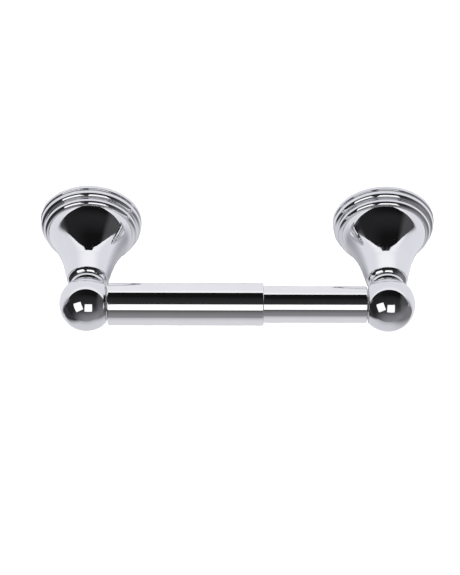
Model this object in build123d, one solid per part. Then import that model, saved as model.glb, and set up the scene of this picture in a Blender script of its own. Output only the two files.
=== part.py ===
from build123d import *
from math import sqrt
import os

# Toilet paper holder: two bell-shaped posts on the wall and a sprung telescopic roller between them.
# Millimetres. +X runs to the right along the roller, +Y into the wall, +Z up. The origin is the centre
# of the wall screw pattern, on the wall midway between the posts. A distance t out from the wall is at
# Y = -t.

# Overall layout
POST_SPACING = 180.0  # between the axes of the two posts
PROJECTION = 68.0  # from the wall to the roller's axis

# Stepped rim of the bell, from the wall outwards
FLANGE_R = 31.2
BASE_RING_HEIGHT = 2.5
BASE_RING_ROUND = 0.9
RIM_BEAD_ROUNDS = (2.85, 2.75)  # radii of the two beads' quarter-round outlines
RIM_BEAD_SINK = 1.75  # from the foot of each bead to its widest place
RIM_LEDGE = 0.1  # flat at the foot of each bead

# Bell, as a convex shoulder that runs into a hollow sweep and then a nearly straight neck
SHOULDER_RISE = 6.4
SHOULDER_DROP = 2.9
HOLLOW_SAG = 0.8  # how far the sweep lies inside the straight line from shoulder to taper
TAPER_LENGTH = 11.0
TAPER_START_R = 14.9
NECK_R = 12.5
BELL_WALL = 2.4
NECK_WEB = 6.0  # solid end of the bell, which the stem passes through

# Neck collar, a rounded shoulder and then a bead
COLLAR_RISES = (2.5, 3.45)  # length of each along the post
COLLAR_FEET = (12.2, 9.95)  # radius at the start of each
COLLAR_ENDS = (10.1, 9.3)  # radius at the end of each
COLLAR_BULGES = (0.35, 0.5)

# Ball end
BALL_R = 16.2
BALL_SEAT_R = 9.6  # flat at the back of the ball, against the collar
BALL_FACE_OFFSET = 12.0  # from the post's axis to the flat that faces the roller
BALL_FACE_ROUND = 0.8
STEM_R = 5.0
STEM_FLAT = 4.0  # from the stem's axis to the flat that keeps the ball from turning
STEM_SHORT = 0.3  # the stem stops this far inside the web, so that its screw clamps
FIT = 0.05  # radial clearance of the close fits

# Stem screw, M5 with a pan head, and its lock washer
STEM_SCREW_R = 2.5
STEM_SCREW_LENGTH = 16.0
TAP_EXTRA = 2.0  # tapped depth past the end of the screw
THREAD_CLEARANCE = 0.04
SCREW_HEAD_R = 4.75
SCREW_HEAD_HEIGHT = 3.4
SCREW_HEAD_ROUND = 1.4
RECESS_SPAN = 5.0
RECESS_WIDTH = 1.3
RECESS_DEPTH = 2.0
WASHER_R = 5.6
WASHER_THICKNESS = 1.2
WASHER_CLEARANCE = 0.2
WASHER_SPLIT = 0.8

# Wall bracket
POCKET_WALL = 4.8  # from the flange's rim to the pocket in its back
POCKET_DEPTH = 7.0
BRACKET_GAP = 0.3
BRACKET_HEIGHT = 6.2
BRACKET_UNDERCUT = 2.6  # how much smaller the bracket is at the wall than at its front
BRACKET_RIM = 3.4
BRACKET_WEB = 2.2
BRACKET_CENTRE_HOLE_R = 6.0
WALL_SCREW_SPACING = 30.0  # one hole above the post's axis and one below it
WALL_SCREW_HOLE_R = 2.25

# Set screw, M4 with a hexagon socket, in the underside of the outer rim bead
SET_SCREW_R = 2.0
SET_SCREW_INSET = 0.5  # its outer end inside the bead
SET_SCREW_POINT = 0.7
SET_SCREW_SOCKET = 1.15  # centre to corner
SET_SCREW_SOCKET_DEPTH = 1.8

# Roller tubes
OUTER_TUBE_R = 12.7
OUTER_TUBE_WALL = 0.9
TELESCOPE_GAP = 0.8  # between the wide tube's bore and the narrow tube
INNER_TUBE_WALL = 0.8
TUBE_END_ROUND = 0.9
TUBE_END_LIP = 3.2  # how far each tube's closed end is turned in
MOUTH_LIP = 0.8  # length of the wide tube's turned-in mouth
MOUTH_ROUND = 0.5
MOUTH_CLEARANCE = 0.2
MOUTH_X = 15.6  # where the narrow tube comes out of the wide one
TAIL_X = -24.0  # hidden end of the narrow tube
ROLLER_END_GAP = 0.8  # from each tube end to the ball's flat

# Pins, plugs, bush and slide ring
PIN_R = 4.0
PIN_REACH = 7.0  # into the ball
PIN_ROUND = 1.2
SOCKET_CLEARANCE = 0.3
SOCKET_CHAMFER = 0.6
PLUG_LENGTH = 6.0
PLUG_RECESS = 0.2  # the plug's boss inside the tube's end
SPIGOT_R = 5.6
SPIGOT_LENGTH = 4.0
BUSH_LENGTH = 9.0
SLIDE_RING_LENGTH = 7.0
SLIDE_RING_LIP = 1.2
SLIDE_RING_BITE = 1.4  # how far the ring's lip reaches in over the tube's tail
RUNNING_FIT = 0.08  # radial clearance of the sliding fits

# Spring
SPRING_R = 7.0
SPRING_WIRE_R = 0.55
SPRING_PITCH = 5.8
SPRING_END_GAP = 0.3

# Places that follow from the sizes above
BEAD_T = BASE_RING_HEIGHT + RIM_BEAD_SINK
BEAD_CENTRE_R = FLANGE_R - BASE_RING_ROUND - RIM_LEDGE - sqrt(RIM_BEAD_ROUNDS[0] ** 2 - RIM_BEAD_SINK**2)
RIM_BEAD_PEAK_R = BEAD_CENTRE_R + RIM_BEAD_ROUNDS[0]
SEAT_T = PROJECTION - sqrt(BALL_R**2 - BALL_SEAT_R**2)
BELL_T = SEAT_T - sum(COLLAR_RISES)
WEB_T = BELL_T - NECK_WEB
WASHER_T = WEB_T - WASHER_THICKNESS
SCREW_END_T = WASHER_T + STEM_SCREW_LENGTH
FLANGE_BORE_R = FLANGE_R - POCKET_WALL
BRACKET_R = FLANGE_BORE_R - BRACKET_GAP
OUTER_BORE_R = OUTER_TUBE_R - OUTER_TUBE_WALL
INNER_TUBE_R = OUTER_BORE_R - TELESCOPE_GAP
INNER_BORE_R = INNER_TUBE_R - INNER_TUBE_WALL
ROLLER_END = POST_SPACING / 2 - BALL_FACE_OFFSET - ROLLER_END_GAP
PIN_TIP = ROLLER_END + ROLLER_END_GAP + PIN_REACH
SOCKET_R = PIN_R + SOCKET_CLEARANCE

# The roller's own plane: points are (x, radius), turned about the X axis through the posts' ball ends.
ROLLER_PLANE = Plane(origin=(0, -PROJECTION, 0), x_dir=(1, 0, 0), z_dir=(0, 0, 1))


def out(radius, t):
    """The point at this radius and distance from the wall, in the plane turned about a post."""
    return Vector(radius, -t)


def turned_post(*edges):
    """The solid turned about a post's axis from a closed outline."""
    return revolve(make_face(edges), axis=Axis.Y)


def post_bar(radius, start, end):
    """A round bar on a post's axis between two distances from the wall."""
    return turned_post(Polyline(out(0, start), out(radius, start), out(radius, end), out(0, end), close=True))


def turned_roller(*points):
    """The solid turned about the roller's axis from the corners of its outline, as (x, radius)."""
    outline = make_face(Polyline(*points, close=True))
    return ROLLER_PLANE * revolve(outline, axis=Axis.X)


def round_circle(solid, x, radius, size):
    """Rounds the circular edge of a roller piece at this place and radius."""
    edges = [
        edge
        for edge in solid.edges().filter_by(GeomType.CIRCLE)
        if abs(edge.center(CenterOf.BOUNDING_BOX).X - x) < 0.01 and abs(edge.radius - radius) < 0.01
    ]
    return fillet(edges, size)


def rim_outline():
    """The edges of the base ring and the two beads, and the point where the bell starts."""
    edges = [
        Line(out(FLANGE_R, 0), out(FLANGE_R, BASE_RING_HEIGHT - BASE_RING_ROUND)),
        RadiusArc(
            out(FLANGE_R, BASE_RING_HEIGHT - BASE_RING_ROUND),
            out(FLANGE_R - BASE_RING_ROUND, BASE_RING_HEIGHT),
            BASE_RING_ROUND,
        ),
    ]
    radius, t = FLANGE_R - BASE_RING_ROUND, BASE_RING_HEIGHT
    for bead in RIM_BEAD_ROUNDS:
        centre_r = radius - RIM_LEDGE - sqrt(bead**2 - RIM_BEAD_SINK**2)
        centre_t = t + RIM_BEAD_SINK
        edges.append(Line(out(radius, t), out(radius - RIM_LEDGE, t)))
        edges.append(
            ThreePointArc(
                out(radius - RIM_LEDGE, t),
                out(centre_r + bead, centre_t),
                out(centre_r, centre_t + bead),
            )
        )
        radius, t = centre_r, centre_t + bead
    return edges, radius, t


def bell_outline(inset):
    """The shoulder, the hollow sweep and the neck's taper, drawn in by a wall thickness."""
    waist = out(RIM_TOP_R - SHOULDER_DROP - inset, RIM_TOP_T + SHOULDER_RISE)
    taper = out(TAPER_START_R - inset, BELL_T - TAPER_LENGTH)
    sweep = SagittaArc(waist, taper, -HOLLOW_SAG)
    shoulder = TangentArc(waist, out(RIM_TOP_R - inset, RIM_TOP_T), tangent=-(sweep % 0))
    neck = TangentArc(taper, out(NECK_R - inset, BELL_T), tangent=sweep % 1)
    return [shoulder, sweep, neck]


RIM_EDGES, RIM_TOP_R, RIM_TOP_T = rim_outline()


def bell_flange():
    """The bell with its stepped rim: a thin casting, open at the wall and closed by a web at the neck."""
    body = turned_post(
        *RIM_EDGES,
        *bell_outline(0),
        Line(out(NECK_R, BELL_T), out(0, BELL_T)),
        Line(out(0, BELL_T), out(0, 0)),
        Line(out(0, 0), out(FLANGE_R, 0)),
    )
    inner_r = RIM_TOP_R - BELL_WALL
    hollow = turned_post(
        Line(out(0, RIM_TOP_T), out(inner_r, RIM_TOP_T)),
        *bell_outline(BELL_WALL),
        Line(out(NECK_R - BELL_WALL, BELL_T), out(0, BELL_T)),
        Line(out(0, BELL_T), out(0, RIM_TOP_T)),
    )
    hollow = hollow - post_bar(FLANGE_R, WEB_T, BELL_T + 1)
    body = body - hollow - post_bar(inner_r, POCKET_DEPTH - 1, RIM_TOP_T + 0.01)
    body = body - post_bar(FLANGE_BORE_R, -1, POCKET_DEPTH)
    stem_hole = post_bar(STEM_R + FIT, WEB_T - 1, BELL_T + 1) & stem_flat_block(FIT)
    screw_hole = Plane(origin=(0, -BEAD_T, 0)) * Cylinder(
        SET_SCREW_R, FLANGE_R + 1, align=(Align.CENTER, Align.CENTER, Align.MAX)
    )
    return body - stem_hole - screw_hole


def stem_flat_block(clearance):
    """The block that leaves a flat on the stem, and on the hole it fits in."""
    width = 4 * STEM_R
    return Pos(0, 0, STEM_FLAT + clearance) * Box(
        width, 4 * PROJECTION, width, align=(Align.CENTER, Align.CENTER, Align.MAX)
    )


def neck_collar():
    """The rounded shoulder and the bead between the bell and the ball, bored for the stem."""
    edges, t = [], BELL_T
    last = None
    for rise, foot, end, bulge in zip(COLLAR_RISES, COLLAR_FEET, COLLAR_ENDS, COLLAR_BULGES):
        start, finish = out(foot, t), out(end, t + rise)
        if last is not None:
            edges.append(Line(last, start))
        edges.append(SagittaArc(start, finish, bulge))
        last, t = finish, t + rise
    bore = STEM_R + FIT
    edges.append(Polyline(last, out(bore, t), out(bore, BELL_T), out(COLLAR_FEET[0], BELL_T)))
    return turned_post(*edges)


def ball_end(side):
    """The ball with its flat towards the roller, the socket for the roller's pin, and the stem."""
    ball = Pos(0, -PROJECTION, 0) * Sphere(BALL_R)
    face_x = -side * BALL_FACE_OFFSET
    cutter = Box(BALL_R, 3 * BALL_R, 3 * BALL_R, align=(Align.MIN, Align.CENTER, Align.CENTER))
    turn = 0 if side < 0 else 180
    ball = ball - Pos(face_x, -PROJECTION, 0) * Rot(0, 0, turn) * cutter
    face_r = sqrt(BALL_R**2 - BALL_FACE_OFFSET**2)
    ball = round_circle(ball, face_x, face_r, BALL_FACE_ROUND)
    ball = ball - post_bar(2 * BALL_R, 0, SEAT_T)
    stem = post_bar(STEM_R, WEB_T + STEM_SHORT, SEAT_T + 1) & stem_flat_block(0)
    depth = PIN_REACH + SOCKET_CLEARANCE
    chamfer_r = SOCKET_R + SOCKET_CHAMFER
    socket = ROLLER_PLANE * revolve(
        make_face(
            Polyline(
                (face_x + side * depth, 0),
                (face_x + side * depth, SOCKET_R),
                (face_x + side * SOCKET_CHAMFER, SOCKET_R),
                (face_x, chamfer_r),
                (face_x - side, chamfer_r),
                (face_x - side, 0),
                close=True,
            )
        ),
        axis=Axis.X,
    )
    return ball + stem - socket - post_bar(STEM_SCREW_R, WEB_T, SCREW_END_T + TAP_EXTRA)


def stem_screw():
    """Pan-head screw that enters the stem from inside the bell."""
    radius = STEM_SCREW_R - THREAD_CLEARANCE
    head_t = WASHER_T - SCREW_HEAD_HEIGHT
    screw = turned_post(
        Line(out(0, head_t), out(SCREW_HEAD_R - SCREW_HEAD_ROUND, head_t)),
        RadiusArc(
            out(SCREW_HEAD_R - SCREW_HEAD_ROUND, head_t),
            out(SCREW_HEAD_R, head_t + SCREW_HEAD_ROUND),
            -SCREW_HEAD_ROUND,
        ),
        Polyline(
            out(SCREW_HEAD_R, head_t + SCREW_HEAD_ROUND),
            out(SCREW_HEAD_R, WASHER_T),
            out(radius, WASHER_T),
            out(radius, SCREW_END_T - 0.5),
            out(radius - 0.5, SCREW_END_T),
            out(0, SCREW_END_T),
            out(0, head_t),
        ),
    )
    recess_at = Pos(0, -head_t - RECESS_DEPTH / 2 + 0.5, 0)
    for width, height in ((RECESS_SPAN, RECESS_WIDTH), (RECESS_WIDTH, RECESS_SPAN)):
        screw = screw - recess_at * Box(width, RECESS_DEPTH + 1, height)
    return screw


def stem_washer():
    """Split lock washer between the screw's head and the web."""
    ring = post_bar(WASHER_R, WASHER_T, WEB_T) - post_bar(STEM_SCREW_R + WASHER_CLEARANCE, 0, PROJECTION)
    split = Box(WASHER_R + 1, PROJECTION, WASHER_SPLIT, align=(Align.MIN, Align.MAX, Align.CENTER))
    return ring - Rot(0, -45, 0) * split


def bracket_radius(t):
    """Radius of the bracket's slanting rim at this distance from the wall."""
    return BRACKET_R - BRACKET_UNDERCUT * (1 - t / BRACKET_HEIGHT)


def wall_bracket():
    """Round bracket whose rim slants in towards the wall, with two screw holes and a centre hole."""
    rim_r = bracket_radius(0) - BRACKET_RIM
    bracket = turned_post(
        Polyline(
            out(BRACKET_CENTRE_HOLE_R, 0),
            out(bracket_radius(0), 0),
            out(BRACKET_R, BRACKET_HEIGHT),
            out(rim_r, BRACKET_HEIGHT),
            out(rim_r, BRACKET_WEB),
            out(BRACKET_CENTRE_HOLE_R, BRACKET_WEB),
            close=True,
        )
    )
    for side in (-1, 1):
        hole = Rot(90, 0, 0) * Cylinder(WALL_SCREW_HOLE_R, 4 * BRACKET_HEIGHT)
        bracket = bracket - Pos(0, 0, side * WALL_SCREW_SPACING / 2) * hole
    return bracket


def set_screw():
    """Grub screw that comes up through the rim and presses on the bracket's slanting edge."""
    radius = SET_SCREW_R - THREAD_CLEARANCE
    tip_r = radius - SET_SCREW_POINT
    top = -bracket_radius(BEAD_T + tip_r) - FIT
    bottom = -(RIM_BEAD_PEAK_R - SET_SCREW_INSET)
    outline = Polyline(
        (0, bottom), (radius, bottom), (radius, top - SET_SCREW_POINT), (tip_r, top), (0, top), close=True
    )
    screw = revolve(Plane.XZ * make_face(outline), axis=Axis.Z)
    socket = extrude(RegularPolygon(SET_SCREW_SOCKET, 6), SET_SCREW_SOCKET_DEPTH)
    return Pos(0, -BEAD_T, 0) * (screw - Pos(0, 0, bottom) * socket)


def closed_end(side, tube_r, wall):
    """Corners of a tube's closed end, from its bore round its turned-in lip to its outside."""
    lip_r = tube_r - TUBE_END_LIP
    end = side * ROLLER_END
    inner = end - side * wall
    return [(inner, tube_r - wall), (inner, lip_r), (end, lip_r), (end, tube_r)]


def roller_outer_tube():
    """The wide half: closed at the left, and turned in at its mouth to just clear the narrow half."""
    mouth_r = INNER_TUBE_R + MOUTH_CLEARANCE
    tube = turned_roller(
        *closed_end(-1, OUTER_TUBE_R, OUTER_TUBE_WALL),
        (MOUTH_X, OUTER_TUBE_R),
        (MOUTH_X, mouth_r),
        (MOUTH_X - MOUTH_LIP, mouth_r),
        (MOUTH_X - MOUTH_LIP, OUTER_BORE_R),
    )
    tube = round_circle(tube, -ROLLER_END, OUTER_TUBE_R, min(TUBE_END_ROUND, OUTER_TUBE_WALL - 0.05))
    return round_circle(tube, MOUTH_X, OUTER_TUBE_R, min(MOUTH_ROUND, MOUTH_LIP - 0.05))


def roller_inner_tube():
    """The narrow half: closed at the right, with its open tail hidden inside the wide half."""
    tube = turned_roller(
        *closed_end(1, INNER_TUBE_R, INNER_TUBE_WALL), (TAIL_X, INNER_TUBE_R), (TAIL_X, INNER_BORE_R)
    )
    return round_circle(tube, ROLLER_END, INNER_TUBE_R, min(TUBE_END_ROUND, INNER_TUBE_WALL - 0.05))


def end_plug(side, tube_r, wall):
    """Plastic plug in a tube's closed end, with the pin that sits in the ball and the spring's spigot."""
    bore_r = tube_r - wall - FIT
    boss_r = tube_r - TUBE_END_LIP - FIT
    shoulder = side * (ROLLER_END - wall - FIT)
    face = side * (ROLLER_END - PLUG_RECESS)
    back = side * (ROLLER_END - wall - PLUG_LENGTH)
    plug = turned_roller(
        (side * PIN_TIP, 0),
        (side * PIN_TIP, PIN_R),
        (face, PIN_R),
        (face, boss_r),
        (shoulder, boss_r),
        (shoulder, bore_r),
        (back, bore_r),
        (back, SPIGOT_R),
        (back - side * SPIGOT_LENGTH, SPIGOT_R),
        (back - side * SPIGOT_LENGTH, 0),
    )
    return round_circle(plug, side * PIN_TIP, PIN_R, PIN_ROUND)


def roller_mouth_bush():
    """Plastic guide ring behind the wide tube's mouth."""
    front = MOUTH_X - MOUTH_LIP - FIT
    back = front - BUSH_LENGTH
    inner_r = INNER_TUBE_R + RUNNING_FIT
    outer_r = OUTER_BORE_R - FIT
    return turned_roller((back, inner_r), (front, inner_r), (front, outer_r), (back, outer_r))


def roller_slide_ring():
    """Plastic ring on the narrow tube's tail, sliding in the wide tube's bore."""
    back = TAIL_X - FIT - SLIDE_RING_LIP
    lip_r = INNER_TUBE_R - SLIDE_RING_BITE
    return turned_roller(
        (back, lip_r),
        (TAIL_X - FIT, lip_r),
        (TAIL_X - FIT, INNER_TUBE_R + FIT),
        (back + SLIDE_RING_LENGTH, INNER_TUBE_R + FIT),
        (back + SLIDE_RING_LENGTH, OUTER_BORE_R - RUNNING_FIT),
        (back, OUTER_BORE_R - RUNNING_FIT),
    )


def roller_spring():
    """Compression spring from plug to plug, with its ends ground flat."""
    left = -(ROLLER_END - OUTER_TUBE_WALL - PLUG_LENGTH) + SPRING_END_GAP
    right = ROLLER_END - INNER_TUBE_WALL - PLUG_LENGTH - SPRING_END_GAP
    spare = 2 * SPRING_WIRE_R
    helix = Helix(
        SPRING_PITCH,
        right - left + 2 * spare,
        SPRING_R,
        center=(left - spare, -PROJECTION, 0),
        direction=(1, 0, 0),
    )
    wire = sweep((helix ^ 0) * Circle(SPRING_WIRE_R), path=helix, is_frenet=True)
    span = Box(right - left, 4 * SPRING_R, 4 * SPRING_R, align=(Align.MIN, Align.CENTER, Align.CENTER))
    return wire & Pos(left, -PROJECTION, 0) * span


def main():
    """Writes one STEP for each piece."""
    pieces = {}
    for name, side in (("left", -1), ("right", 1)):
        place = Pos(side * POST_SPACING / 2, 0, 0)
        pieces[f"{name}_bell_flange"] = place * bell_flange()
        pieces[f"{name}_neck_collar"] = place * neck_collar()
        pieces[f"{name}_ball_end"] = place * ball_end(side)
        pieces[f"{name}_stem_screw"] = place * stem_screw()
        pieces[f"{name}_stem_washer"] = place * stem_washer()
        pieces[f"{name}_wall_bracket"] = place * wall_bracket()
        pieces[f"{name}_set_screw"] = place * set_screw()
    pieces["roller_outer_tube"] = roller_outer_tube()
    pieces["roller_inner_tube"] = roller_inner_tube()
    pieces["roller_left_end_plug"] = end_plug(-1, OUTER_TUBE_R, OUTER_TUBE_WALL)
    pieces["roller_right_end_plug"] = end_plug(1, INNER_TUBE_R, INNER_TUBE_WALL)
    pieces["roller_mouth_bush"] = roller_mouth_bush()
    pieces["roller_slide_ring"] = roller_slide_ring()
    pieces["roller_spring"] = roller_spring()
    os.makedirs("parts", exist_ok=True)
    for name, piece in pieces.items():
        export_step(piece, f"parts/{name}.step")


main()
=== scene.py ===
"""Looks for a wall-mounted toilet paper holder: chrome posts, a sprung telescopic roller and its fixings."""

import math

import bpy
from mathutils import Matrix, Vector


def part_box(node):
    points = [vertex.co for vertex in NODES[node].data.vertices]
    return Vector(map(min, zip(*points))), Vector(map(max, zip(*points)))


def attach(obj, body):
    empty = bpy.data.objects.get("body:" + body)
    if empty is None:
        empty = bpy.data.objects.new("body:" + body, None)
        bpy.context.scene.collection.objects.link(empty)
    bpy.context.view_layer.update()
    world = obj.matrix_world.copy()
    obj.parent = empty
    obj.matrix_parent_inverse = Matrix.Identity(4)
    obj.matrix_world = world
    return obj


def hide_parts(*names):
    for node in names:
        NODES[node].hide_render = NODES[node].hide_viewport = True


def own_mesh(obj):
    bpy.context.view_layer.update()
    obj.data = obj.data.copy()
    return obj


bl_info = {
    "name": "Toilet Paper Holder",
    "version": (1, 0, 0),
    "blender": (4, 5, 0),
    "location": "View3D > Sidebar > Paper Holder",
    "description": "Finishes and the spring of a double-post toilet paper holder, and its studio",
    "category": "Object",
}

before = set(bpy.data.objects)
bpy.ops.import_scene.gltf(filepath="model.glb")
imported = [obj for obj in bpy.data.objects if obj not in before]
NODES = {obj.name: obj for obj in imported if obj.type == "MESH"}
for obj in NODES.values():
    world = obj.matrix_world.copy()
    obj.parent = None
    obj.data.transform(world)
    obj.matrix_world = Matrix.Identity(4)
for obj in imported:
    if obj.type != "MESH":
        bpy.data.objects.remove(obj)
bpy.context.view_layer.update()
ROLLER_AXIS = sum(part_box("roller_outer_tube"), Vector()) / 2
SPRING_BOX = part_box("roller_spring")
CLOSED_PITCH = 2.04  # rise of a closed turn, in wire radii: a hair more than the wire is thick


# Settings


class HolderFinishes(bpy.types.PropertyGroup):
    """Colours and finishes of the holder's metals and plastic."""

    chrome_light: bpy.props.FloatVectorProperty(
        name="Chrome", description="Main tint of the chrome", subtype="COLOR", size=3, min=0, max=1,
        default=(0.88, 0.88, 0.905),
    )
    chrome_dim: bpy.props.FloatVectorProperty(
        name="Chrome, hazy", description="Tint of the chrome under a faint haze", subtype="COLOR", size=3,
        min=0, max=1, default=(0.85, 0.85, 0.88),
    )
    tube_light: bpy.props.FloatVectorProperty(
        name="Tube chrome", description="Main tint of the roller tubes' chrome", subtype="COLOR", size=3,
        min=0, max=1, default=(0.97, 0.97, 0.98),
    )
    tube_dim: bpy.props.FloatVectorProperty(
        name="Tube chrome, hazy", description="Tint of the tubes' chrome under a faint haze",
        subtype="COLOR", size=3, min=0, max=1, default=(0.94, 0.94, 0.955),
    )
    chrome_polish: bpy.props.FloatProperty(
        name="Chrome roughness", description="Roughness of clean chrome", default=0.022, min=0.0, max=1.0,
        subtype="FACTOR",
    )
    chrome_smudge: bpy.props.FloatProperty(
        name="Smudge roughness", description="Roughness inside a faint smudge", default=0.05, min=0.0,
        max=1.0, subtype="FACTOR",
    )
    zinc: bpy.props.FloatVectorProperty(
        name="Zinc plate", description="Colour of the plated brackets", subtype="COLOR", size=3, min=0, max=1,
        default=(0.60, 0.61, 0.62),
    )
    steel: bpy.props.FloatVectorProperty(
        name="Steel", description="Colour of the screws and washers", subtype="COLOR", size=3, min=0, max=1,
        default=(0.42, 0.42, 0.43),
    )
    wire: bpy.props.FloatVectorProperty(
        name="Spring wire", description="Colour of the drawn spring wire", subtype="COLOR", size=3, min=0,
        max=1, default=(0.36, 0.36, 0.37),
    )
    nylon: bpy.props.FloatVectorProperty(
        name="Plastic", description="Colour of the plugs and slide rings", subtype="COLOR", size=3, min=0,
        max=1, default=(0.74, 0.73, 0.70),
    )


class HolderSpring(bpy.types.PropertyGroup):
    """Sizes of the roller's compression spring."""

    coil_radius: bpy.props.FloatProperty(
        name="Coil radius", description="From the spring's axis to the middle of its wire", default=0.0070,
        min=0.002, max=0.009, subtype="DISTANCE", unit="LENGTH",
    )
    wire_radius: bpy.props.FloatProperty(
        name="Wire radius", description="Radius of the spring wire", default=0.00055, min=0.0002, max=0.002,
        subtype="DISTANCE", unit="LENGTH",
    )
    open_turns: bpy.props.IntProperty(
        name="Open turns", description="Turns along the middle of the spring", default=22, min=4, max=60
    )
    closed_turns: bpy.props.IntProperty(
        name="Closed turns", description="Turns lying together at each end", default=2, min=1, max=5
    )


class HolderStudio(bpy.types.PropertyGroup):
    """The floor and the lights."""

    floor_drop: bpy.props.FloatProperty(
        name="Floor depth", description="From the roller's axis down to the floor", default=0.35, min=0.1,
        max=2.0, subtype="DISTANCE", unit="LENGTH",
    )
    softbox_distance: bpy.props.FloatProperty(
        name="Softbox distance", description="From the holder to each softbox", default=2.5, min=1.0,
        max=6.0, subtype="DISTANCE", unit="LENGTH",
    )
    softbox_power: bpy.props.FloatProperty(
        name="Softbox power", description="Power of a softbox 1.5 m square", default=8.0, min=0.0, max=1000.0,
        unit="POWER",
    )
    daylight: bpy.props.FloatProperty(
        name="Overhead light", description="Strength of the soft light from above that whitens the floor",
        default=4.2, min=0.0, max=20.0,
    )
    board_top: bpy.props.FloatProperty(
        name="Board top", description="From the roller's axis up to the top edge of the white wall board",
        default=0.165, min=0.04, max=2.0, subtype="DISTANCE", unit="LENGTH",
    )
    board_foot: bpy.props.FloatProperty(
        name="Board foot", description="From the roller's axis down to the foot of the white wall board",
        default=0.30, min=0.04, max=2.0, subtype="DISTANCE", unit="LENGTH",
    )


# Shader node groups


def new_group(name, inputs, outputs):
    """An empty shader group with named sockets: (name, kind, default) for each input, (name, kind) out."""
    group = bpy.data.node_groups.new(name, "ShaderNodeTree")
    for label, kind, default in inputs:
        socket = group.interface.new_socket(label, in_out="INPUT", socket_type=kind)
        if default is not None:
            socket.default_value = default
    for label, kind in outputs:
        group.interface.new_socket(label, in_out="OUTPUT", socket_type=kind)
    start = group.nodes.new("NodeGroupInput")
    end = group.nodes.new("NodeGroupOutput")
    start.location, end.location = (-900, 0), (500, 0)
    return group, start, end


def noise(tree, vector, scale, detail, roughness):
    """A noise texture on these coordinates."""
    node = tree.nodes.new("ShaderNodeTexNoise")
    node.inputs["Detail"].default_value = detail
    node.inputs["Roughness"].default_value = roughness
    tree.links.new(vector, node.inputs["Vector"])
    if isinstance(scale, bpy.types.NodeSocket):
        tree.links.new(scale, node.inputs["Scale"])
    else:
        node.inputs["Scale"].default_value = scale
    return node.outputs["Fac"]


def spread(tree, value, low, high, out_low=0.0, out_high=1.0):
    """Maps a value's range to another, smoothly."""
    node = tree.nodes.new("ShaderNodeMapRange")
    node.interpolation_type = "SMOOTHSTEP"
    tree.links.new(value, node.inputs["Value"])
    for label, number in (("From Min", low), ("From Max", high), ("To Min", out_low), ("To Max", out_high)):
        if isinstance(number, bpy.types.NodeSocket):
            tree.links.new(number, node.inputs[label])
        else:
            node.inputs[label].default_value = number
    return node.outputs["Result"]


def level_ramp(tree, angle, stops):
    """Grey levels, a touch blue, against an angle: (degrees from -180 to 180, level) for each stop."""
    turn = tree.nodes.new("ShaderNodeMapRange")
    tree.links.new(angle, turn.inputs["Value"])
    turn.inputs["From Min"].default_value = -math.pi
    turn.inputs["From Max"].default_value = math.pi
    ramp = tree.nodes.new("ShaderNodeValToRGB")
    tree.links.new(turn.outputs["Result"], ramp.inputs["Fac"])
    elements = ramp.color_ramp.elements
    while len(elements) < len(stops):
        elements.new(0.5)
    for element, (degrees, level) in zip(elements, stops):
        element.position = (degrees + 180) / 360
        element.color = (level, level, min(1.0, level * 1.05), 1.0)
    return ramp.outputs["Color"]


def maths(tree, operation, first, second=None):
    """A Math node on two values, each a socket or a number."""
    node = tree.nodes.new("ShaderNodeMath")
    node.operation = operation
    for place, value in enumerate((first, second)):
        if isinstance(value, bpy.types.NodeSocket):
            tree.links.new(value, node.inputs[place])
        elif value is not None:
            node.inputs[place].default_value = value
    return node.outputs[0]


def pool(tree, x, y, middle, stretch, edge, core):
    """A soft round patch: 0 this far from its middle at its edge, 1 inside its core, after the stretch."""
    squares = []
    for value, centre, factor in zip((x, y), middle, stretch):
        offset = maths(tree, "MULTIPLY", maths(tree, "SUBTRACT", value, centre), factor)
        squares.append(maths(tree, "POWER", offset, 2.0))
    return spread(tree, maths(tree, "SQRT", maths(tree, "ADD", *squares)), edge, core)


def blend_colours(tree, factor, first, second):
    """A colour between two others, each a socket or a colour."""
    node = tree.nodes.new("ShaderNodeMix")
    node.data_type = "RGBA"
    tree.links.new(factor, node.inputs["Factor"])
    for label, value in (("A", first), ("B", second)):
        socket = next(s for s in node.inputs if s.name == label and s.type == "RGBA")
        if isinstance(value, bpy.types.NodeSocket):
            tree.links.new(value, socket)
        else:
            socket.default_value = (*value[:3], 1.0)
    return next(s for s in node.outputs if s.type == "RGBA")


def smudges_group():
    """Faint finger smudges and haze: a mask with soft cloudy edges."""
    group, start, end = new_group(
        "Finger Smudges",
        [("Vector", "NodeSocketVector", None), ("Scale", "NodeSocketFloat", 30.0),
         ("Coverage", "NodeSocketFloat", 0.45)],
        [("Mask", "NodeSocketFloat")],
    )
    clouds = noise(group, start.outputs["Vector"], start.outputs["Scale"], 3.0, 0.55)
    fine_scale = maths(group, "MULTIPLY", start.outputs["Scale"], 9.0)
    streaks = noise(group, start.outputs["Vector"], fine_scale, 2.0, 0.6)
    low = maths(group, "SUBTRACT", 0.85, start.outputs["Coverage"])
    high = maths(group, "ADD", low, 0.22)
    patch = spread(group, clouds, low, high)
    grain = spread(group, streaks, 0.35, 0.7, 0.55, 1.0)
    group.links.new(maths(group, "MULTIPLY", patch, grain), end.inputs["Mask"])
    return group


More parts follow.
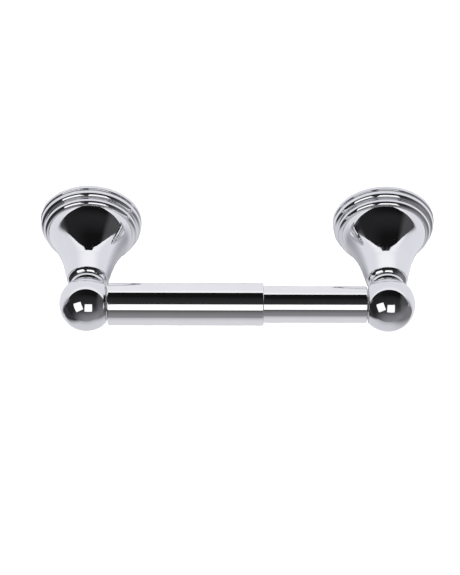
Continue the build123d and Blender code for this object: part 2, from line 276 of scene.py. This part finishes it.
def scratches_group():
    """Fine hairlines drawn out along one direction: a height and a mask."""
    group, start, end = new_group(
        "Hairlines",
        [("Vector", "NodeSocketVector", None), ("Stretch", "NodeSocketVector", (1.0, 1.0, 1.0)),
         ("Scale", "NodeSocketFloat", 400.0)],
        [("Height", "NodeSocketFloat"), ("Mask", "NodeSocketFloat")],
    )
    drawn = group.nodes.new("ShaderNodeVectorMath")
    drawn.operation = "MULTIPLY"
    group.links.new(start.outputs["Vector"], drawn.inputs[0])
    group.links.new(start.outputs["Stretch"], drawn.inputs[1])
    lines = noise(group, drawn.outputs[0], start.outputs["Scale"], 4.0, 0.65)
    group.links.new(lines, end.inputs["Height"])
    group.links.new(spread(group, lines, 0.42, 0.66), end.inputs["Mask"])
    return group


def mottle_group():
    """Cloudy tone over a surface, between two colours."""
    group, start, end = new_group(
        "Cloudy Tone",
        [("Vector", "NodeSocketVector", None), ("Scale", "NodeSocketFloat", 60.0),
         ("Light", "NodeSocketColor", (0.8, 0.8, 0.8, 1.0)),
         ("Dark", "NodeSocketColor", (0.6, 0.6, 0.6, 1.0))],
        [("Colour", "NodeSocketColor"), ("Mask", "NodeSocketFloat")],
    )
    clouds = noise(group, start.outputs["Vector"], start.outputs["Scale"], 5.0, 0.6)
    mask = spread(group, clouds, 0.35, 0.68)
    colour = blend_colours(group, mask, start.outputs["Light"], start.outputs["Dark"])
    group.links.new(colour, end.inputs["Colour"])
    group.links.new(mask, end.inputs["Mask"])
    return group


def place_group(tree, group, vector, **values):
    """Puts a shared group in a material with its own values."""
    node = tree.nodes.new("ShaderNodeGroup")
    node.node_tree = group
    tree.links.new(vector, node.inputs["Vector"])
    for label, value in values.items():
        node.inputs[label.replace("_", " ")].default_value = value
    return node


def new_finish(name):
    """A material with its Principled shader and the piece's own coordinates."""
    material = bpy.data.materials.new(name)
    material.use_nodes = True
    tree = material.node_tree
    shader = tree.nodes["Principled BSDF"]
    coordinates = tree.nodes.new("ShaderNodeTexCoord").outputs["Object"]
    return material, tree, shader, coordinates


def bump(tree, shader, height, strength, distance):
    """Joins a height to the shader's normal."""
    node = tree.nodes.new("ShaderNodeBump")
    node.inputs["Strength"].default_value = strength
    node.inputs["Distance"].default_value = distance
    tree.links.new(height, node.inputs["Height"])
    tree.links.new(node.outputs["Normal"], shader.inputs["Normal"])


def chrome_finish(name, groups, finishes, light, dim, stretch, hairline_bump):
    """Mirror chrome with faint smudges, a little haze and polishing hairlines along one direction."""
    material, tree, shader, at = new_finish(name)
    shader.inputs["Metallic"].default_value = 1.0
    smudge = place_group(tree, groups["smudges"], at, Scale=34.0, Coverage=0.38)
    lines = place_group(tree, groups["hairlines"], at, Stretch=stretch, Scale=900.0)
    tone = place_group(
        tree, groups["mottle"], at, Scale=45.0, Light=(*light, 1.0), Dark=(*dim, 1.0)
    )
    tree.links.new(tone.outputs["Colour"], shader.inputs["Base Color"])
    haze = spread(tree, smudge.outputs["Mask"], 0.0, 1.0, finishes.chrome_polish, finishes.chrome_smudge)
    worn = spread(tree, lines.outputs["Mask"], 0.0, 1.0, 0.0, 0.012)
    tree.links.new(maths(tree, "ADD", haze, worn), shader.inputs["Roughness"])
    bump(tree, shader, lines.outputs["Height"], hairline_bump, 0.000004)
    return material


def metal_finish(name, groups, colour, scale, stretch, line_scale, smooth, rough, depth):
    """Plain or plated steel: cloudy tone, hairlines and uneven roughness."""
    material, tree, shader, at = new_finish(name)
    shader.inputs["Metallic"].default_value = 1.0
    dark = tuple(0.72 * c for c in colour)
    tone = place_group(tree, groups["mottle"], at, Scale=scale, Light=(*colour, 1.0), Dark=(*dark, 1.0))
    lines = place_group(tree, groups["hairlines"], at, Stretch=stretch, Scale=line_scale)
    scuffed = blend_colours(
        tree, spread(tree, lines.outputs["Mask"], 0.3, 1.0, 0.0, 0.3), tone.outputs["Colour"],
        tuple(min(1.0, 1.35 * c) for c in colour),
    )
    tree.links.new(scuffed, shader.inputs["Base Color"])
    uneven = spread(tree, tone.outputs["Mask"], 0.0, 1.0, smooth, rough)
    worn = spread(tree, lines.outputs["Mask"], 0.0, 1.0, 0.0, 0.08)
    tree.links.new(maths(tree, "ADD", uneven, worn), shader.inputs["Roughness"])
    bump(tree, shader, lines.outputs["Height"], 0.5, depth)
    return material


def plastic_finish(name, groups, colour):
    """Moulded nylon: slightly cloudy, with a fine matt skin and handling marks."""
    material, tree, shader, at = new_finish(name)
    shader.inputs["IOR"].default_value = 1.5
    warm = (colour[0] * 0.93, colour[1] * 0.91, colour[2] * 0.86)
    tone = place_group(tree, groups["mottle"], at, Scale=120.0, Light=(*colour, 1.0), Dark=(*warm, 1.0))
    smudge = place_group(tree, groups["smudges"], at, Scale=70.0, Coverage=0.42)
    tree.links.new(tone.outputs["Colour"], shader.inputs["Base Color"])
    tree.links.new(spread(tree, smudge.outputs["Mask"], 0.0, 1.0, 0.48, 0.36), shader.inputs["Roughness"])
    bump(tree, shader, noise(tree, at, 2600.0, 3.0, 0.6), 0.25, 0.00004)
    return material


# Modelling helpers


def deselect_all():
    """Leaves nothing selected, so that operators act on the new piece alone."""
    bpy.ops.object.select_all(action="DESELECT")


def settle(piece):
    """Puts the piece's place into its mesh, with its object at the origin."""
    deselect_all()
    piece.select_set(True)
    bpy.context.view_layer.objects.active = piece
    bpy.ops.object.transform_apply(location=True, rotation=True, scale=True)


def paint(names, material):
    """Gives packed pieces a finish through their material slots."""
    for name in names:
        for slot in NODES[name].material_slots:
            slot.material = material


def coil(x, turns, pitch, settings):
    """One stretch of spring: a round of wire swept round the roller's axis by a Screw modifier."""
    axis_point = Vector((x, ROLLER_AXIS.y, ROLLER_AXIS.z))
    deselect_all()
    bpy.ops.mesh.primitive_circle_add(
        vertices=14, radius=settings.wire_radius, location=axis_point + Vector((0, 0, settings.coil_radius)),
        rotation=(math.pi / 2, 0, 0),
    )
    piece = bpy.context.object
    bpy.context.scene.cursor.location = axis_point
    bpy.ops.object.origin_set(type="ORIGIN_CURSOR")
    bpy.ops.object.transform_apply(location=False, rotation=True, scale=True)
    screw = piece.modifiers.new("Coil", "SCREW")
    screw.axis = "X"
    screw.angle = 2 * math.pi
    screw.iterations = turns
    screw.screw_offset = pitch
    screw.steps = screw.render_steps = 36
    screw.use_merge_vertices = False
    bpy.ops.object.modifier_apply(modifier=screw.name)
    settle(piece)
    return piece


# Operators


class HOLDER_OT_chrome(bpy.types.Operator):
    """Polished chrome on the posts and the roller tubes"""

    bl_idname = "holder.chrome"
    bl_label = "Chrome Posts and Tubes"

    def execute(self, context):
        finishes = context.scene.holder_finishes
        groups = {"smudges": smudges_group(), "hairlines": scratches_group(), "mottle": mottle_group()}
        for label, group in groups.items():
            group["holder_effect"] = label
        turned = chrome_finish(
            "Chrome castings", groups, finishes, finishes.chrome_light, finishes.chrome_dim,
            (1.0, 0.15, 1.0), 0.12,
        )
        drawn = chrome_finish(
            "Chrome tube", groups, finishes, finishes.tube_light, finishes.tube_dim, (0.04, 1.0, 1.0), 0.18
        )
        for side in ("left", "right"):
            paint([f"{side}_bell_flange", f"{side}_neck_collar", f"{side}_ball_end"], turned)
        paint(["roller_outer_tube", "roller_inner_tube"], drawn)
        return {"FINISHED"}


def shared_groups():
    """The effect groups made with the chrome, by name."""
    found = {g["holder_effect"]: g for g in bpy.data.node_groups if "holder_effect" in g}
    if len(found) < 3:
        raise RuntimeError("the chrome operator makes the shared effects and runs first")
    return found


class HOLDER_OT_fixings(bpy.types.Operator):
    """Plated brackets, plain steel screws and washers, and plastic plugs and rings"""

    bl_idname = "holder.fixings"
    bl_label = "Brackets, Screws and Plugs"

    def execute(self, context):
        finishes = context.scene.holder_finishes
        groups = shared_groups()
        zinc = metal_finish(
            "Zinc plate", groups, tuple(finishes.zinc), 95.0, (1.0, 1.0, 0.1), 500.0, 0.30, 0.44, 0.00002
        )
        steel = metal_finish(
            "Screw steel", groups, tuple(finishes.steel), 260.0, (1.0, 0.2, 1.0), 1400.0, 0.24, 0.38, 0.00001
        )
        nylon = plastic_finish("Nylon", groups, tuple(finishes.nylon))
        for side in ("left", "right"):
            paint([f"{side}_wall_bracket"], zinc)
            paint([f"{side}_stem_screw", f"{side}_stem_washer", f"{side}_set_screw"], steel)
            paint([f"roller_{side}_end_plug"], nylon)
        paint(["roller_mouth_bush", "roller_slide_ring"], nylon)
        return {"FINISHED"}


class HOLDER_OT_spring(bpy.types.Operator):
    """Compression spring with closed turns at both ends, inside the roller"""

    bl_idname = "holder.spring"
    bl_label = "Roller Spring"

    def execute(self, context):
        settings = context.scene.holder_spring
        low, high = SPRING_BOX[0].x + settings.wire_radius, SPRING_BOX[1].x - settings.wire_radius
        closed_pitch = CLOSED_PITCH * settings.wire_radius
        closed = closed_pitch * settings.closed_turns
        open_pitch = (high - low - 2 * closed) / settings.open_turns
        stretches = [
            coil(low, settings.closed_turns, closed_pitch, settings),
            coil(low + closed, settings.open_turns, open_pitch, settings),
            coil(high - closed, settings.closed_turns, closed_pitch, settings),
        ]
        deselect_all()
        for piece in stretches:
            piece.select_set(True)
        context.view_layer.objects.active = stretches[0]
        bpy.ops.object.join()
        spring = stretches[0]
        spring.name = "compression_spring"
        bpy.ops.object.mode_set(mode="EDIT")
        bpy.ops.mesh.select_all(action="SELECT")
        bpy.ops.mesh.remove_doubles(threshold=0.00002)
        bpy.ops.mesh.select_all(action="DESELECT")
        bpy.ops.mesh.select_mode(type="EDGE")
        bpy.ops.mesh.select_non_manifold()
        bpy.ops.mesh.edge_face_add()
        bpy.ops.mesh.select_all(action="SELECT")
        bpy.ops.mesh.normals_make_consistent(inside=False)
        bpy.ops.object.mode_set(mode="OBJECT")
        bpy.ops.object.shade_smooth_by_angle(angle=math.radians(40))
        settle(spring)
        finishes = context.scene.holder_finishes
        wire = metal_finish(
            "Spring wire", shared_groups(), tuple(finishes.wire), 300.0, (0.6, 1.0, 1.0), 1800.0, 0.26, 0.4,
            0.000008,
        )
        spring.data.materials.append(wire)
        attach(spring, "roller_outer_half")
        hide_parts("roller_spring")
        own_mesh(spring)
        return {"FINISHED"}


# Studio. The view and the two directions square to it fix where the lights stand and how the room is toned.

VIEW_PLACE = Vector((-0.00549, -0.92913, 0.98541))
VIEW_AHEAD = Vector((0.00084, 0.66380, -0.74791)).normalized()
VIEW_RIGHT = Vector((1.0, 0.00109, 0.00210)).normalized()
VIEW_UP = VIEW_RIGHT.cross(VIEW_AHEAD).normalized()
VIEW_LENS = 137.4

# Each softbox: degrees to the right of the view and above it, degrees wide and high, and its turn
SOFTBOXES = {
    "Softbox left": (-32.5, -12.7, 33.5, 33.5, 24.0),
    "Softbox right": (10.6, -16.8, 31.2, 31.5, -3.0),
}
SOFTBOX_AREA = 1.5 * 1.5  # of the softbox that the power setting is for
OVERHEAD_ANGLE = 60  # degrees across the light from above: the wider, the softer its shadows

# Floor, with the tones of its painted reflection as places between which each one sets in
FLOOR_FRONT = 1.75  # from the roller to the floor's front edge, in floor depths
FLOOR_SIZE = (6.0, 3.0)  # the floor's width, and how far it runs behind the wall
FLOOR_NEAR = (-0.68, -0.25)
FLOOR_LEFT = (0.44, 0.72)
FLOOR_RIGHT = (0.10, 0.55)
FLOOR_SLANT = -1.57  # how the left tone's border leans as it runs back
SLANT_START = -0.12

# Wall board, a glow seen only in reflections, with its painted light and shade in metres from the middle of
# the roller
BOARD_WIDTH = 2.4
BOARD_GAP = 0.001  # from the back of the flanges to the wall board
# Painted light: a bright band along the board's top
BOARD_EDGE = (0.09, 0.005)  # below the board's top, where its bright edge sets in and is full
# Painted dimming towards the board's sides
BOARD_SIDES = (0.25, 0.75)
# Painted shade in the board's lower corners: how far out, then how far down
BOARD_CORNERS = (0.25, 0.5)
BOARD_FOOT = (-0.10, -0.24)
HOLDER_SHADOW = ((0.0, -0.10), (0.75, 1.0), 0.11, 0.03)  # middle, stretch, edge and core
POST_SHADOW = ((0.09, -0.055), (1.0, 0.55), 0.045, 0.02)

# The room's grey levels by degrees above the view: in the middle, and on each side
ROOM_MIDDLE = [
    (-180, 0.85), (-152, 0.80), (-140, 0.45), (-100, 0.27), (-75, 0.25), (-58, 0.21), (-45, 0.16),
    (-33, 0.07), (-10, 0.030), (12, 0.026), (30, 0.018), (42, 0.007), (66, 0.006), (90, 0.02), (180, 0.85),
]
ROOM_LEFT = [
    (-180, 0.50), (-165, 0.35), (-150, 0.10), (-120, 0.06), (-80, 0.02), (-30, 0.02), (45, 0.018),
    (68, 0.012), (80, 0.30), (120, 0.46), (150, 0.45), (180, 0.45),
]
ROOM_FAR_LEFT = [
    (-180, 0.30), (-160, 0.09), (-140, 0.07), (-110, 0.03), (-70, 0.018), (20, 0.02), (40, 0.08),
    (55, 0.24), (80, 0.34), (110, 0.46), (145, 0.38), (180, 0.25),
]
ROOM_RIGHT = [
    (-180, 0.50), (-150, 0.42), (-120, 0.22), (-60, 0.18), (-25, 0.13), (0, 0.09), (40, 0.07),
    (62, 0.10), (75, 0.14), (120, 0.30), (160, 0.36), (180, 0.50),
]
# Each side takes over between these degrees to the right of the view
ROOM_SIDES = ((ROOM_LEFT, 0, -58), (ROOM_FAR_LEFT, -64, -79), (ROOM_RIGHT, 40, 60))


def studio_direction(across, above):
    """The direction this many degrees to the right of the view and above it, as seen from the holder."""
    a, b = math.radians(across), math.radians(above)
    return (
        math.sin(a) * VIEW_RIGHT
        - math.cos(a) * math.cos(b) * VIEW_AHEAD
        + math.cos(a) * math.sin(b) * VIEW_UP
    )


def softbox(name, across, above, width, height, turn, studio):
    """A square light facing the holder from this direction, turned about its own axis."""
    data = bpy.data.lights.new(name, "AREA")
    data.shape = "RECTANGLE"
    distance = studio.softbox_distance
    data.size = 2 * distance * math.tan(math.radians(width) / 2)
    data.size_y = 2 * distance * math.tan(math.radians(height) / 2)
    data.energy = studio.softbox_power * data.size * data.size_y / SOFTBOX_AREA
    lamp = bpy.data.objects.new(name, data)
    bpy.context.scene.collection.objects.link(lamp)
    lamp.visible_camera = False
    back = studio_direction(across, above)
    right = (VIEW_RIGHT - VIEW_RIGHT.dot(back) * back).normalized()
    up = back.cross(right)
    a = math.radians(turn)
    x_axis = math.cos(a) * right + math.sin(a) * up
    y_axis = back.cross(x_axis)
    matrix = Matrix((x_axis, y_axis, back)).transposed().to_4x4()
    matrix.translation = ROLLER_AXIS + distance * back
    lamp.matrix_world = matrix


def studio_world():
    """A dark room with grey sides, fixed in place, that is plain white where it is seen direct."""
    world = bpy.data.worlds.new("Studio")
    world.use_nodes = True
    tree = world.node_tree
    background = tree.nodes["Background"]
    direction = tree.nodes.new("ShaderNodeTexCoord").outputs["Generated"]

    def along(axis):
        node = tree.nodes.new("ShaderNodeVectorMath")
        node.operation = "DOT_PRODUCT"
        node.inputs[1].default_value = axis
        tree.links.new(direction, node.inputs[0])
        return node.outputs["Value"]

    right, up, back = along(VIEW_RIGHT), along(VIEW_UP), along(-VIEW_AHEAD)
    above = maths(tree, "ARCTAN2", up, back)
    across = maths(tree, "ARCSINE", right)
    levels = level_ramp(tree, above, ROOM_MIDDLE)
    for stops, start, end in ROOM_SIDES:
        towards = spread(tree, across, math.radians(start), math.radians(end))
        levels = blend_colours(tree, towards, levels, level_ramp(tree, above, stops))
    seen = tree.nodes.new("ShaderNodeLightPath").outputs["Is Camera Ray"]
    shown = blend_colours(tree, seen, levels, (1.0, 1.0, 1.0))
    tree.links.new(shown, background.inputs["Color"])
    bpy.context.scene.world = world


class HOLDER_OT_studio(bpy.types.Operator):
    """Pale floor, white wall board, two square softboxes, overhead light and the camera"""

    bl_idname = "holder.studio"
    bl_label = "Studio"

    def execute(self, context):
        studio = context.scene.holder_studio
        front = ROLLER_AXIS.y - FLOOR_FRONT * studio.floor_drop
        width, back = FLOOR_SIZE
        floor = self.sheet("floor", width, front, back, ROLLER_AXIS.z - studio.floor_drop)
        floor.data.materials.append(self.paper())
        board = self.sheet("wall_board", BOARD_WIDTH, -studio.board_foot, studio.board_top, 0.0)
        board.rotation_euler.x = math.pi / 2
        board.location = (0, BOARD_GAP, ROLLER_AXIS.z)
        settle(board)
        # The board glows with painted light and shade and shows only in reflections
        board.data.materials.append(self.glow(studio.board_top))
        board.visible_camera = board.visible_diffuse = board.visible_shadow = False
        board.visible_transmission = board.visible_volume_scatter = False
        for name, (across, above, wide, high, turn) in SOFTBOXES.items():
            softbox(name, across, above, wide, high, turn, studio)
        data = bpy.data.lights.new("Overhead", "SUN")
        data.energy = studio.daylight
        data.angle = math.radians(OVERHEAD_ANGLE)
        overhead = bpy.data.objects.new("Overhead", data)
        context.scene.collection.objects.link(overhead)
        overhead.visible_camera = overhead.visible_glossy = False
        studio_world()
        data = bpy.data.cameras.new("Camera")
        data.lens = VIEW_LENS
        data.clip_start = 0.01
        camera = bpy.data.objects.new("Camera", data)
        context.scene.collection.objects.link(camera)
        matrix = Matrix((VIEW_RIGHT, VIEW_UP, -VIEW_AHEAD)).transposed().to_4x4()
        matrix.translation = VIEW_PLACE
        camera.matrix_world = matrix
        context.scene.camera = camera
        context.scene.view_settings.view_transform = "Standard"
        return {"FINISHED"}

    @staticmethod
    def sheet(name, width, front, back, height):
        """A level sheet of the studio from its front edge to its back edge."""
        deselect_all()
        bpy.ops.mesh.primitive_plane_add(size=1)
        piece = bpy.context.object
        piece.name = name
        piece.scale = (width, back - front, 1.0)
        piece.location = (0, (back + front) / 2, height)
        settle(piece)
        return piece

    @staticmethod
    def glow(top):
        """A glowing white wall board with painted light and shade: brightest at its painted top edge,
        darkened by painted shadow behind the holder, dimmed to its sides.
        """
        material, tree, shader, at = new_finish("Wall board")
        split = tree.nodes.new("ShaderNodeSeparateXYZ")
        tree.links.new(at, split.inputs[0])
        x, z = split.outputs["X"], split.outputs["Z"]
        aside = maths(tree, "ABSOLUTE", x)
        # Painted light: a bright band along the board's top edge
        edge = spread(tree, z, *(top - below for below in BOARD_EDGE))
        # Painted shadow of the holder on the board
        shadow = pool(tree, x, z, *HOLDER_SHADOW)
        # Painted dimming towards the board's sides
        painted_side_dimming = spread(tree, aside, *BOARD_SIDES)
        # Painted shadow around each post
        painted_post_shadow = pool(tree, aside, z, *POST_SHADOW)
        # Painted shade in the board's lower corners
        painted_corner_shade = maths(
            tree, "MULTIPLY", spread(tree, z, *BOARD_FOOT), spread(tree, aside, *BOARD_CORNERS)
        )
        tone = blend_colours(tree, edge, (0.80, 0.80, 0.84), (1.0, 1.0, 1.02))
        tone = blend_colours(tree, shadow, tone, (0.30, 0.30, 0.33))
        tone = blend_colours(tree, painted_side_dimming, tone, (0.32, 0.32, 0.34))
        tone = blend_colours(tree, painted_post_shadow, tone, (0.42, 0.42, 0.45))
        tone = blend_colours(tree, painted_corner_shade, tone, (0.15, 0.15, 0.16))
        # These painted light and shade tones make the board's glow
        tree.links.new(tone, shader.inputs["Emission Color"])
        shader.inputs["Emission Strength"].default_value = 1.0
        shader.inputs["Base Color"].default_value = (0.0, 0.0, 0.0, 1.0)
        shader.inputs["Specular IOR Level"].default_value = 0.0
        return material

    @staticmethod
    def paper():
        """White paper, clear from below, whose mirror image is a painted reflection: a glow toned like a lit
        sweep in a dark room.
        """
        material, tree, shader, at = new_finish("Paper floor")
        split = tree.nodes.new("ShaderNodeSeparateXYZ")
        tree.links.new(at, split.inputs[0])
        x, y = split.outputs["X"], split.outputs["Y"]
        fibre = spread(tree, noise(tree, at, 900.0, 3.0, 0.6), 0.3, 0.7, 0.0, 0.03)
        tree.links.new(
            blend_colours(tree, fibre, (0.93, 0.93, 0.93), (0.8, 0.8, 0.8)), shader.inputs["Base Color"]
        )
        shader.inputs["Roughness"].default_value = 0.9
        # Painted reflection: glossy rays see a glow, pale near the front, darker to the right and near black
        # to the left
        near = blend_colours(tree, spread(tree, y, *FLOOR_NEAR), (0.46, 0.46, 0.49), (0.68, 0.68, 0.71))
        back = maths(tree, "MULTIPLY", maths(tree, "MAXIMUM", y, SLANT_START), FLOOR_SLANT)
        slant = maths(tree, "SUBTRACT", back, x)
        left = spread(tree, slant, *FLOOR_LEFT)
        right = spread(tree, x, *FLOOR_RIGHT)
        painted_floor_reflection = blend_colours(tree, right, near, (0.19, 0.19, 0.20))
        painted_floor_reflection = blend_colours(tree, left, painted_floor_reflection, (0.04, 0.04, 0.045))
        painted_reflection_glow = tree.nodes.new("ShaderNodeEmission")
        tree.links.new(painted_floor_reflection, painted_reflection_glow.inputs["Color"])
        path = tree.nodes.new("ShaderNodeLightPath")
        mirrored = tree.nodes.new("ShaderNodeMixShader")
        tree.links.new(path.outputs["Is Glossy Ray"], mirrored.inputs["Fac"])
        tree.links.new(shader.outputs[0], mirrored.inputs[1])
        tree.links.new(painted_reflection_glow.outputs[0], mirrored.inputs[2])
        clear = tree.nodes.new("ShaderNodeBsdfTransparent")
        mix = tree.nodes.new("ShaderNodeMixShader")
        behind = tree.nodes.new("ShaderNodeNewGeometry").outputs["Backfacing"]
        tree.links.new(behind, mix.inputs["Fac"])
        tree.links.new(mirrored.outputs[0], mix.inputs[1])
        tree.links.new(clear.outputs[0], mix.inputs[2])
        tree.links.new(mix.outputs[0], tree.nodes["Material Output"].inputs["Surface"])
        return material


class HOLDER_PT_panel(bpy.types.Panel):
    """The holder's pieces and settings"""

    bl_idname = "HOLDER_PT_panel"
    bl_label = "Paper Holder"
    bl_space_type = "VIEW_3D"
    bl_region_type = "UI"
    bl_category = "Paper Holder"

    def draw(self, context):
        for operator in OPERATORS:
            self.layout.operator(operator.bl_idname)
        for label, group in SETTINGS.items():
            box = self.layout.box()
            box.label(text=group.__doc__)
            for prop in group.__annotations__:
                box.prop(getattr(context.scene, label), prop)


OPERATORS = (HOLDER_OT_chrome, HOLDER_OT_fixings, HOLDER_OT_spring, HOLDER_OT_studio)
SETTINGS = {"holder_finishes": HolderFinishes, "holder_spring": HolderSpring, "holder_studio": HolderStudio}


def register():
    for cls in (*SETTINGS.values(), *OPERATORS, HOLDER_PT_panel):
        bpy.utils.register_class(cls)
    for label, group in SETTINGS.items():
        setattr(bpy.types.Scene, label, bpy.props.PointerProperty(type=group))


def unregister():
    for label in SETTINGS:
        delattr(bpy.types.Scene, label)
    for cls in reversed((*SETTINGS.values(), *OPERATORS, HOLDER_PT_panel)):
        bpy.utils.unregister_class(cls)


def main():
    """Makes every piece in order."""
    register()
    bpy.ops.holder.chrome()
    bpy.ops.holder.fixings()
    bpy.ops.holder.spring()
    bpy.ops.holder.studio()


if __name__ == "__main__":
    main()
